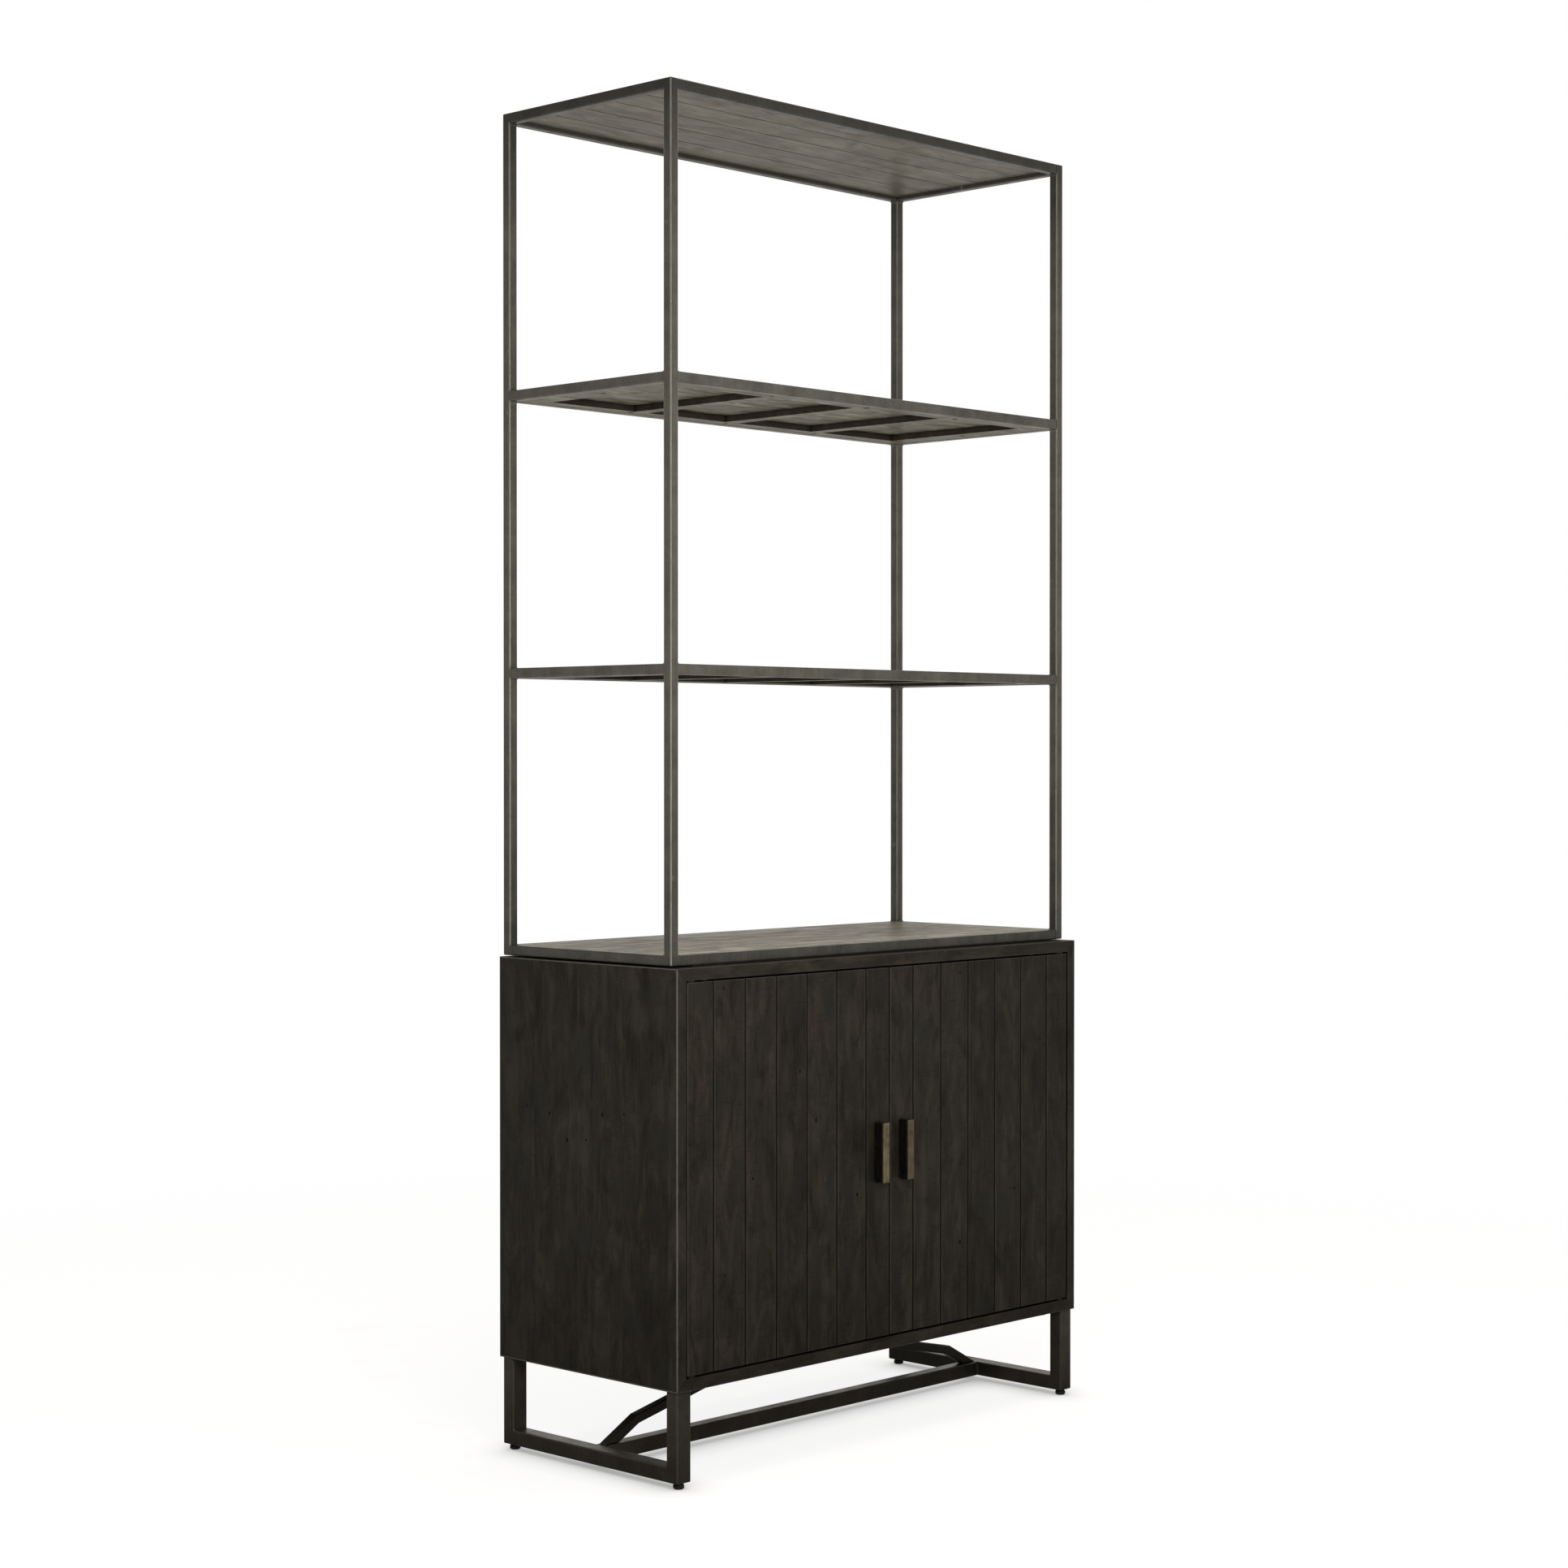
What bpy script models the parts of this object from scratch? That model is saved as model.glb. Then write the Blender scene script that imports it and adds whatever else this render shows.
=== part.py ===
"""Storage bookcase: a closed cabinet on a tube base, with an open tube-frame bookcase standing on it.

Metres, +Z up, the doors face -Y. The origin is on the floor, under the middle of the whole object.
"""

import math

import bmesh
import bpy

# Driving dimensions.
CABINET_WIDTH = 1.000
CABINET_DEPTH = 0.424
CABINET_HEIGHT = 0.667
CABINET_CLEAR = 0.155
PANEL = 0.020
BACK_THICK = 0.006
BACK_INSET = 0.002

DOOR_THICK = 0.020
DOOR_GAP = 0.003
DOOR_BOARDS = 7
DOOR_BOARD_WIDTH = 0.072
GROOVE_WIDTH = 0.004
GROOVE_DEPTH = 0.002

HANDLE_WIDTH = 0.015
HANDLE_HEIGHT = 0.100
HANDLE_OUT = 0.020
HANDLE_FACE = 0.003
HANDLE_FROM_CENTRE = 0.031
HANDLE_UP = 0.335
STUD_RADIUS = 0.002
STUD_IN_DOOR = 0.012

PIVOT_IN = 0.0165
PIVOT_BACK = 0.0095
PIVOT_RADIUS = 0.004
PIVOT_IN_DOOR = 0.014
PIVOT_IN_PANEL = 0.010
BUSH_WALL = 0.0017
BUSH_DEPTH = 0.012
FLANGE_RADIUS = 0.0085

CATCH_SIZE = (0.040, 0.014, 0.012)
CATCH_BEHIND_DOOR = 0.0015
CATCH_FROM_CENTRE = 0.040

SHELF_THICK = 0.018
SHELF_FRONT_SETBACK = 0.045
SHELF_SIDE_GAP = 0.0015
SHELF_BACK_GAP = 0.002
ROW_PITCH = 0.032
ROW_COUNT = 7
FIRST_ROW_UP = 0.216
ROW_FROM_EDGE = 0.080
PEG_RADIUS = 0.0025
PEG_IN_PANEL = 0.010
PEG_HEAD_RADIUS = 0.0045
PEG_HEAD_LENGTH = 0.010

LEG_TUBE = 0.025
LEG_WIDTH = 0.030
LEG_INSET = 0.004
FOOT_HEIGHT = 0.010
FOOT_RADIUS = 0.009
FOOT_STEM_RADIUS = 0.004
FOOT_STEM = 0.022
ARCH_TUBE = 0.016
ARCH_KNEE_IN = 0.071
ARCH_KNEE_UP = 0.039
ARCH_FLAT = 0.060
TAB_THICK = 0.004
TAB_IN = 0.040
TAB_ALONG = 0.032
TAB_LAP = 0.012

HUTCH_HEIGHT = 1.398
HUTCH_GAP = 0.002
HUTCH_SIDE_INSET = 0.008
HUTCH_FRONT_INSET = 0.022
HUTCH_TUBE = 0.017
BOARD_THICK = 0.005
TOP_BOARD_THICK = 0.010
SHELF_BOARDS = 5
BATTEN_RISE = 0.001
BATTEN_WIDTH = 0.030
END_BATTEN_WIDTH = 0.050
CELLS = 4
PAD_WIDTH = 0.010
PAD_FROM_END = 0.034

BOLT_RADIUS = 0.003
BOLT_HEAD_RADIUS = 0.0065
BOLT_HEAD = 0.004
BOLT_BITE = 0.012
HUTCH_BOLT_FROM_END = 0.090
BACK_FIXING_IN = 0.014

CLEARANCE = 0.0003
TUBE_BEVEL = 0.002
BOARD_BEVEL = 0.0008
DOOR_BEVEL = 0.0010
ROUND_STEPS = 20

# Places worked out from them.
FRONT = HANDLE_OUT - (CABINET_DEPTH + HANDLE_OUT) / 2
BACK = FRONT + CABINET_DEPTH
MIDDLE = (FRONT + BACK) / 2
SIDE = CABINET_WIDTH / 2
BOTTOM = CABINET_CLEAR
TOP = BOTTOM + CABINET_HEIGHT
INNER_SIDE = SIDE - PANEL
INNER_BOTTOM = BOTTOM + PANEL
INNER_TOP = TOP - PANEL
DOOR_BOTTOM = INNER_BOTTOM + DOOR_GAP
DOOR_TOP = INNER_TOP - DOOR_GAP
BACK_FACE = BACK - BACK_INSET - BACK_THICK
HANDLE_CENTRE_Z = BOTTOM + HANDLE_UP
FIRST_ROW_Z = INNER_BOTTOM + FIRST_ROW_UP
FLANGE = (DOOR_GAP - 3 * CLEARANCE) / 2
PIVOT_X = INNER_SIDE - PIVOT_IN
PIVOT_Y = FRONT + PIVOT_BACK

HUTCH_SIDE = SIDE - HUTCH_SIDE_INSET
HUTCH_FRONT = FRONT + HUTCH_FRONT_INSET
HUTCH_BOTTOM = TOP + HUTCH_GAP
HUTCH_TOP = HUTCH_BOTTOM + HUTCH_HEIGHT
LEVEL_PITCH = (HUTCH_HEIGHT - HUTCH_TUBE) / 3
BAY_SIDE = HUTCH_SIDE - HUTCH_TUBE
BAY_FRONT = HUTCH_FRONT + HUTCH_TUBE
BAY_BACK = BACK - HUTCH_TUBE


def new_collection(name, helper=False):
    made = bpy.data.collections.new(name)
    made.hide_render = helper
    bpy.context.scene.collection.children.link(made)
    return made


def new_material(name, colour, roughness, metallic=0.0):
    made = bpy.data.materials.new(name)
    made.use_nodes = True
    shader = made.node_tree.nodes["Principled BSDF"]
    shader.inputs["Base Color"].default_value = (*colour, 1.0)
    shader.inputs["Roughness"].default_value = roughness
    shader.inputs["Metallic"].default_value = metallic
    return made


def finish(name, shape, location, material):
    """Turns a bmesh into an object of the bookcase, or into a cutter when it has no material."""
    bmesh.ops.recalc_face_normals(shape, faces=shape.faces)
    mesh = bpy.data.meshes.new(name)
    shape.to_mesh(mesh)
    shape.free()
    made = bpy.data.objects.new(name, mesh)
    made.location = location
    if material:
        made.data.materials.append(material)
        pieces.objects.link(made)
    else:
        made.display_type = "WIRE"
        cutters.objects.link(made)
    return made


def bevel(piece, width, segments=1):
    made = piece.modifiers.new("edges", "BEVEL")
    made.width = width
    made.segments = segments
    made.limit_method = "ANGLE"
    made.angle_limit = math.radians(35)


def combine(piece, tool, operation="DIFFERENCE"):
    made = piece.modifiers.new(tool.name, "BOOLEAN")
    made.operation = operation
    made.solver = "EXACT"
    made.object = tool


def box(name, low, high, material=None):
    """A box between two opposite corners, with its origin in its middle."""
    shape = bmesh.new()
    bmesh.ops.create_cube(shape, size=1.0)
    bmesh.ops.scale(shape, vec=[b - a for a, b in zip(low, high)], verts=shape.verts)
    return finish(name, shape, [(a + b) / 2 for a, b in zip(low, high)], material)


def boxes(name, corners):
    """One cutter made of several boxes."""
    shape = bmesh.new()
    for low, high in corners:
        made = bmesh.ops.create_cube(shape, size=1.0)["verts"]
        bmesh.ops.scale(shape, vec=[b - a for a, b in zip(low, high)], verts=made)
        bmesh.ops.translate(shape, vec=[(a + b) / 2 for a, b in zip(low, high)], verts=made)
    return finish(name, shape, (0, 0, 0), None)


def slab(name, outline, axis, start, end, material):
    """An outline, as points in the two other axes in order, drawn out along one axis."""
    shape = bmesh.new()
    spots = []
    for first, second in outline:
        spot = [first, second]
        spot.insert(axis, start)
        spots.append(shape.verts.new(spot))
    face = shape.faces.new(spots)
    drawn = bmesh.ops.extrude_face_region(shape, geom=[face])["geom"]
    step = [0.0, 0.0, 0.0]
    step[axis] = end - start
    moved = [item for item in drawn if isinstance(item, bmesh.types.BMVert)]
    bmesh.ops.translate(shape, vec=step, verts=moved)
    return finish(name, shape, (0, 0, 0), material)


def rod(name, centre, radius, start, end, axis=2, material=None):
    """A round bar along one axis. The centre gives the two other coordinates."""
    shape = bmesh.new()
    bmesh.ops.create_cone(
        shape,
        cap_ends=True,
        segments=ROUND_STEPS,
        radius1=radius,
        radius2=radius,
        depth=end - start,
    )
    made = finish(name, shape, (0, 0, 0), material)
    spot = list(centre)
    spot.insert(axis, (start + end) / 2)
    made.location = spot
    if axis == 0:
        made.rotation_euler.y = math.pi / 2
    if axis == 1:
        made.rotation_euler.x = math.pi / 2
    return made


def turned(name, profile, location, material, closed=False):
    """A profile of (radius, height) points turned round the vertical line through the location."""
    ahead = profile[1:] + profile[:1]
    if sum(r0 * h1 - r1 * h0 for (r0, h0), (r1, h1) in zip(profile, ahead)) < 0:
        profile = profile[::-1]
    shape = bmesh.new()
    spots = [shape.verts.new((radius, 0, height)) for radius, height in profile]
    pairs = list(zip(spots, spots[1:]))
    if closed:
        pairs.append((spots[-1], spots[0]))
    for pair in pairs:
        shape.edges.new(pair)
    made = finish(name, shape, location, material)
    turn = made.modifiers.new("turn", "SCREW")
    turn.axis = "Z"
    turn.steps = ROUND_STEPS
    turn.render_steps = ROUND_STEPS
    turn.use_merge_vertices = True
    turn.merge_threshold = 0.00001
    turn.use_normal_flip = True
    return made


def axis_at(name, location):
    made = bpy.data.objects.new(name, None)
    made.empty_display_size = 0.05
    made.location = location
    pieces.objects.link(made)
    return made


def hang(piece, axis):
    """Parents a piece to an axis without moving the piece."""
    piece.location = [a - b for a, b in zip(piece.location, axis.location)]
    piece.parent = axis


def grooved(low, high, seams, bottom, top, both_sides):
    """The outline of boards laid side by side, with a V-groove at each seam."""
    half = GROOVE_WIDTH / 2
    lower = []
    for seam in seams:
        lower += [(seam - half, bottom), (seam, bottom + GROOVE_DEPTH), (seam + half, bottom)]
    upper = []
    for seam in reversed(seams):
        upper += [(seam + half, top), (seam, top - GROOVE_DEPTH), (seam - half, top)]
    if not both_sides:
        upper = []
    return [(low, bottom), *lower, (high, bottom), (high, top), *upper, (low, top)]


def band(middle, width):
    """The outline of a bent bar, from the points of its upper edge, with level ends."""
    lower = []
    for before, spot, after in zip(middle, middle[1:], middle[2:]):
        first = math.atan2(spot[1] - before[1], spot[0] - before[0])
        second = math.atan2(after[1] - spot[1], after[0] - spot[0])
        lean = (first + second) / 2
        drop = width / math.cos((second - first) / 2)
        lower.append((spot[0] + drop * math.sin(lean), spot[1] - drop * math.cos(lean)))
    (x0, z0), (x1, z1) = middle[0], middle[1]
    foot = width / math.sin(math.atan2(z1 - z0, x1 - x0))
    return [*middle, (-x0 - foot, z0), *reversed(lower), (x0 + foot, z0)]


def build_carcass():
    """Four panels mitred at the corners, and a thin back let in behind them."""
    slip = CLEARANCE * math.sqrt(2)
    for name, level, inner in (("bottom_panel", BOTTOM, INNER_BOTTOM), ("top_panel", TOP, INNER_TOP)):
        outline = [(-SIDE, level), (SIDE, level), (INNER_SIDE, inner), (-INNER_SIDE, inner)]
        slab(name, outline, 1, FRONT, BACK, board_wood)
    for name, way in (("left_side_panel", -1), ("right_side_panel", 1)):
        outline = [
            (way * SIDE, BOTTOM + slip),
            (way * SIDE, TOP - slip),
            (way * INNER_SIDE, INNER_TOP - slip),
            (way * INNER_SIDE, INNER_BOTTOM + slip),
        ]
        panel = slab(name, outline, 1, FRONT, BACK, board_wood)
        combine(panel, peg_holes(way))
    reach = INNER_SIDE - CLEARANCE
    low = (-reach, BACK_FACE, INNER_BOTTOM + CLEARANCE)
    high = (reach, BACK_FACE + BACK_THICK, INNER_TOP - CLEARANCE)
    box("back_panel", low, high, board_wood)


def peg_columns():
    shelf_front = FRONT + SHELF_FRONT_SETBACK
    shelf_back = BACK_FACE - SHELF_BACK_GAP
    return shelf_front + ROW_FROM_EDGE, shelf_back - ROW_FROM_EDGE


def peg_holes(way):
    """The rows of shelf-peg holes in one side panel, as one cutter."""
    shape = bmesh.new()
    for column in peg_columns():
        for row in range(ROW_COUNT):
            made = bmesh.ops.create_cone(
                shape,
                cap_ends=True,
                segments=12,
                radius1=PEG_RADIUS + CLEARANCE,
                radius2=PEG_RADIUS + CLEARANCE,
                depth=2 * (PEG_IN_PANEL + CLEARANCE),
            )["verts"]
            bmesh.ops.translate(shape, vec=(column, FIRST_ROW_Z + row * ROW_PITCH, 0), verts=made)
    made = finish("peg_holes_" + ("left" if way < 0 else "right"), shape, (way * INNER_SIDE, 0, 0), None)
    made.rotation_euler = (math.pi / 2, 0, math.pi / 2)
    return made


def build_adjustable_shelf():
    """A loose board on four pegs, all riding on one axis at the middle of the board."""
    shelf_bottom = FIRST_ROW_Z + PEG_HEAD_RADIUS + CLEARANCE
    reach = INNER_SIDE - SHELF_SIDE_GAP
    low = (-reach, FRONT + SHELF_FRONT_SETBACK, shelf_bottom)
    high = (reach, BACK_FACE - SHELF_BACK_GAP, shelf_bottom + SHELF_THICK)
    slide = axis_at("shelf_slide_axis", (0, (low[1] + high[1]) / 2, shelf_bottom))
    shelf = box("adjustable_shelf", low, high, board_wood)
    bevel(shelf, BOARD_BEVEL)
    hang(shelf, slide)
    profile = [
        (0, -PEG_IN_PANEL),
        (PEG_RADIUS, -PEG_IN_PANEL),
        (PEG_RADIUS, CLEARANCE),
        (PEG_HEAD_RADIUS, CLEARANCE),
        (PEG_HEAD_RADIUS, PEG_HEAD_LENGTH),
        (0, PEG_HEAD_LENGTH),
    ]
    for side, way in (("left", -1), ("right", 1)):
        for end, column in zip(("front", "back"), peg_columns()):
            spot = (way * INNER_SIDE, column, FIRST_ROW_Z)
            peg = turned(f"{side}_{end}_shelf_peg", profile, spot, steel)
            peg.rotation_euler.y = -way * math.pi / 2
            hang(peg, slide)


def build_door(side, way):
    """A boarded door with its two pivot pins and its handle, all hung on the pivot axis."""
    axis = axis_at(side + "_door_axis", (way * PIVOT_X, PIVOT_Y, DOOR_BOTTOM))
    outer = INNER_SIDE - DOOR_GAP
    inner = DOOR_GAP / 2
    middle = (inner + outer) / 2
    first = middle - (DOOR_BOARDS / 2 - 1) * DOOR_BOARD_WIDTH
    seams = [first + index * DOOR_BOARD_WIDTH for index in range(DOOR_BOARDS - 1)]
    outline = grooved(inner, outer, seams, FRONT, FRONT + DOOR_THICK, both_sides=False)
    outline = [(way * across, deep) for across, deep in outline]
    door = slab(side + "_door", outline, 2, DOOR_BOTTOM, DOOR_TOP, board_wood)
    bevel(door, DOOR_BEVEL)
    bore = PIVOT_RADIUS + CLEARANCE
    spot = (way * PIVOT_X, PIVOT_Y)
    reach = PIVOT_IN_DOOR + CLEARANCE
    combine(door, rod(side + "_lower_bore", spot, bore, DOOR_BOTTOM - reach, DOOR_BOTTOM + reach))
    combine(door, rod(side + "_upper_bore", spot, bore, DOOR_TOP - reach, DOOR_TOP + reach))

    centre = way * HANDLE_FROM_CENTRE
    low_z = HANDLE_CENTRE_Z - HANDLE_HEIGHT / 2
    high_z = HANDLE_CENTRE_Z + HANDLE_HEIGHT / 2
    left = centre - HANDLE_WIDTH / 2
    right = centre + HANDLE_WIDTH / 2
    face_back = FRONT - HANDLE_OUT + HANDLE_FACE
    grip = box(side + "_handle", (left, face_back + CLEARANCE, low_z), (right, FRONT - CLEARANCE, high_z), black)
    face = box(side + "_handle_face", (left, FRONT - HANDLE_OUT, low_z), (right, face_back, high_z), brass)
    for index, level in enumerate((low_z + HANDLE_HEIGHT / 5, high_z - HANDLE_HEIGHT / 5)):
        ends = (FRONT - HANDLE_OUT / 3, FRONT + STUD_IN_DOOR)
        stud = rod(f"{side}_stud_{index}", (centre, level), STUD_RADIUS, *ends, axis=1)
        hole = rod(
            f"{side}_stud_hole_{index}",
            (centre, level),
            STUD_RADIUS + CLEARANCE,
            FRONT - HANDLE_OUT,
            FRONT + STUD_IN_DOOR + CLEARANCE,
            axis=1,
        )
        combine(grip, stud, "UNION")
        combine(door, hole)

    profile = [
        (0, -DOOR_GAP - PIVOT_IN_PANEL),
        (PIVOT_RADIUS, -DOOR_GAP - PIVOT_IN_PANEL),
        (PIVOT_RADIUS, -CLEARANCE - FLANGE),
        (FLANGE_RADIUS, -CLEARANCE - FLANGE),
        (FLANGE_RADIUS, -CLEARANCE),
        (PIVOT_RADIUS, -CLEARANCE),
        (PIVOT_RADIUS, PIVOT_IN_DOOR),
        (0, PIVOT_IN_DOOR),
    ]
    lower = turned(side + "_lower_pivot_pin", profile, (*spot, DOOR_BOTTOM), black)
    flipped = [(radius, -height) for radius, height in profile]
    upper = turned(side + "_upper_pivot_pin", flipped, (*spot, DOOR_TOP), black)
    for piece in (door, grip, face, lower, upper):
        hang(piece, axis)


def build_bushes(side, way):
    """The flanged bushes that the door's pins turn in, let into the bottom and top panels."""
    inner = PIVOT_RADIUS + CLEARANCE
    outer = inner + BUSH_WALL
    profile = [
        (inner, -BUSH_DEPTH),
        (outer, -BUSH_DEPTH),
        (outer, CLEARANCE),
        (FLANGE_RADIUS, CLEARANCE),
        (FLANGE_RADIUS, CLEARANCE + FLANGE),
        (inner, CLEARANCE + FLANGE),
    ]
    flipped = [(radius, -height) for radius, height in profile]
    spot = (way * PIVOT_X, PIVOT_Y)
    turned(side + "_lower_bush", profile, (*spot, INNER_BOTTOM), black, closed=True)
    turned(side + "_upper_bush", flipped, (*spot, INNER_TOP), black, closed=True)
    hole = outer + CLEARANCE
    deep = BUSH_DEPTH + CLEARANCE
    lower = rod(side + "_lower_bush_hole", spot, hole, INNER_BOTTOM - deep, INNER_BOTTOM + deep)
    upper = rod(side + "_upper_bush_hole", spot, hole, INNER_TOP - deep, INNER_TOP + deep)
    combine(pieces.objects["bottom_panel"], lower)
    combine(pieces.objects["top_panel"], upper)


def build_catch(side, way):
    """A magnetic catch under the top panel, just behind the free edge of a door."""
    wide, deep, tall = CATCH_SIZE
    middle = way * CATCH_FROM_CENTRE
    front = FRONT + DOOR_THICK + CATCH_BEHIND_DOOR
    low = (middle - wide / 2, front, INNER_TOP - tall)
    high = (middle + wide / 2, front + deep, INNER_TOP - CLEARANCE)
    box(side + "_magnetic_catch", low, high, black)


def build_base():
    """Two U-shaped leg frames, a floor rail between them and a bent arch up to the cabinet's middle."""
    leg_front = FRONT + LEG_INSET
    leg_back = BACK - LEG_INSET
    leg_top = BOTTOM - CLEARANCE
    bar_top = FOOT_HEIGHT + LEG_TUBE
    outer = SIDE - LEG_INSET
    inner = outer - LEG_WIDTH
    outline = [
        (leg_front, FOOT_HEIGHT),
        (leg_back, FOOT_HEIGHT),
        (leg_back, leg_top),
        (leg_back - LEG_TUBE, leg_top),
        (leg_back - LEG_TUBE, bar_top),
        (leg_front + LEG_TUBE, bar_top),
        (leg_front + LEG_TUBE, leg_top),
        (leg_front, leg_top),
    ]
    for side, way in (("left", -1), ("right", 1)):
        frame = slab(side + "_leg_frame", outline, 0, way * inner, way * outer, steel_paint)
        bevel(frame, TUBE_BEVEL, 2)
        for end, corner, inward in (("front", leg_front, 1), ("back", leg_back, -1)):
            add_leg_fittings(frame, f"{side}_{end}", way, corner, inward)
    reach = inner - CLEARANCE
    half = LEG_TUBE / 2
    low = (-reach, MIDDLE - half, FOOT_HEIGHT)
    high = (reach, MIDDLE + half, bar_top)
    bevel(box("floor_rail", low, high, steel_paint), TUBE_BEVEL, 2)

    foot = bar_top + CLEARANCE
    knee_x = reach - ARCH_KNEE_IN
    knee_z = foot + ARCH_KNEE_UP
    flat = ARCH_FLAT / 2
    upper = [(-reach, foot), (-knee_x, knee_z), (-flat, leg_top), (flat, leg_top), (knee_x, knee_z), (reach, foot)]
    half = ARCH_TUBE / 2
    arch = slab("arch_brace", band(upper, ARCH_TUBE), 1, MIDDLE - half, MIDDLE + half, steel_paint)
    bevel(arch, TUBE_BEVEL, 2)


def add_leg_fittings(frame, name, way, corner, inward):
    """The fixing tab, its bolt and the levelling foot of one leg."""
    leg_top = BOTTOM - CLEARANCE
    leg_x = way * (SIDE - LEG_INSET - LEG_WIDTH / 2)
    leg_y = corner + inward * LEG_TUBE / 2
    lap_y = corner + inward * (LEG_TUBE - TAB_LAP)
    far_y = lap_y + inward * TAB_ALONG
    near_x = leg_x
    far_x = leg_x - way * (LEG_WIDTH / 2 + TAB_IN)
    low = (min(near_x, far_x), min(lap_y, far_y), leg_top - TAB_THICK)
    high = (max(near_x, far_x), max(lap_y, far_y), leg_top)
    combine(frame, boxes(name + "_tab", [(low, high)]), "UNION")

    bolt_at = (far_x + way * TAB_IN / 2, (lap_y + far_y) / 2)
    head_top = leg_top - TAB_THICK - CLEARANCE
    profile = [
        (0, head_top - BOLT_HEAD),
        (BOLT_HEAD_RADIUS, head_top - BOLT_HEAD),
        (BOLT_HEAD_RADIUS, head_top),
        (BOLT_RADIUS, head_top),
        (BOLT_RADIUS, BOTTOM + BOLT_BITE),
        (0, BOTTOM + BOLT_BITE),
    ]
    turned(name + "_leg_bolt", profile, (*bolt_at, 0), steel)
    hole = rod(
        name + "_leg_bolt_hole",
        bolt_at,
        BOLT_RADIUS + CLEARANCE,
        leg_top - 2 * TAB_THICK,
        BOTTOM + BOLT_BITE + CLEARANCE,
    )
    combine(frame, hole)
    combine(pieces.objects["bottom_panel"], hole)

    profile = [
        (0, 0),
        (FOOT_RADIUS * 0.8, 0),
        (FOOT_RADIUS, FOOT_HEIGHT * 0.2),
        (FOOT_RADIUS, FOOT_HEIGHT * 0.6),
        (FOOT_RADIUS * 0.7, FOOT_HEIGHT - CLEARANCE),
        (FOOT_STEM_RADIUS, FOOT_HEIGHT - CLEARANCE),
        (FOOT_STEM_RADIUS, FOOT_HEIGHT + FOOT_STEM),
        (0, FOOT_HEIGHT + FOOT_STEM),
    ]
    turned(name + "_levelling_foot", profile, (leg_x, leg_y, 0), black)
    well = FOOT_HEIGHT + FOOT_STEM + CLEARANCE
    combine(frame, rod(name + "_foot_well", (leg_x, leg_y), FOOT_STEM_RADIUS + CLEARANCE, 0, well))


def build_hutch():
    """Two welded end frames, the rails between them, and boards let into the rails at each level."""
    levels = [HUTCH_BOTTOM + HUTCH_TUBE + index * LEVEL_PITCH for index in range(4)]
    windows = []
    for below, above in zip(levels, levels[1:]):
        windows.append(((-SIDE, BAY_FRONT, below), (SIDE, BAY_BACK, above - HUTCH_TUBE)))
    opening = boxes("end_windows", windows)
    for side, way in (("left", -1), ("right", 1)):
        ends = sorted((way * HUTCH_SIDE, way * BAY_SIDE))
        low = (ends[0], HUTCH_FRONT, HUTCH_BOTTOM)
        high = (ends[1], BACK, HUTCH_TOP)
        frame = box(side + "_end_frame", low, high, steel_paint)
        combine(frame, opening)
        bevel(frame, TUBE_BEVEL, 2)

    names = ("base", "lower_shelf", "upper_shelf", "top")
    depths = (HUTCH_TUBE, BOARD_THICK, BOARD_THICK, TOP_BOARD_THICK)
    for name, top, thick in zip(names, levels, depths):
        build_level(name, top, thick)
    for name in ("lower_shelf", "upper_shelf"):
        build_ladder(name, levels[names.index(name)])
    build_fixing("front", HUTCH_FRONT + HUTCH_TUBE / 2, "base_front_rail")
    build_fixing("back", BAY_BACK - BACK_FIXING_IN, "base_boards")


def build_level(name, top, thick):
    reach = BAY_SIDE - CLEARANCE
    for end, edge in (("front", HUTCH_FRONT), ("back", BAY_BACK)):
        low = (-reach, edge, top - HUTCH_TUBE)
        high = (reach, edge + HUTCH_TUBE, top)
        bevel(box(f"{name}_{end}_rail", low, high, steel_paint), TUBE_BEVEL, 2)
    front = BAY_FRONT + CLEARANCE
    back = BAY_BACK - CLEARANCE
    pitch = (back - front) / SHELF_BOARDS
    seams = [front + index * pitch for index in range(1, SHELF_BOARDS)]
    outline = grooved(front, back, seams, top - thick, top, both_sides=True)
    slab(name + "_boards", outline, 0, -reach, reach, shelf_wood)


def build_ladder(name, level):
    """The battens screwed under a shelf: one border with cross battens between its cells."""
    reach = BAY_SIDE - CLEARANCE
    front = BAY_FRONT + CLEARANCE
    back = BAY_BACK - CLEARANCE
    low_z = level - HUTCH_TUBE + BATTEN_RISE
    high_z = level - BOARD_THICK - CLEARANCE
    ladder = box(name + "_battens", (-reach, front, low_z), (reach, back, high_z), shelf_wood)
    span = 2 * (reach - END_BATTEN_WIDTH)
    pitch = (span + BATTEN_WIDTH) / CELLS
    cells = []
    for index in range(CELLS):
        start = -reach + END_BATTEN_WIDTH + index * pitch
        low = (start, front + BATTEN_WIDTH, low_z - BOARD_THICK)
        high = (start + pitch - BATTEN_WIDTH, back - BATTEN_WIDTH, high_z + BOARD_THICK)
        cells.append((low, high))
    combine(ladder, boxes(name + "_cells", cells))


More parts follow.
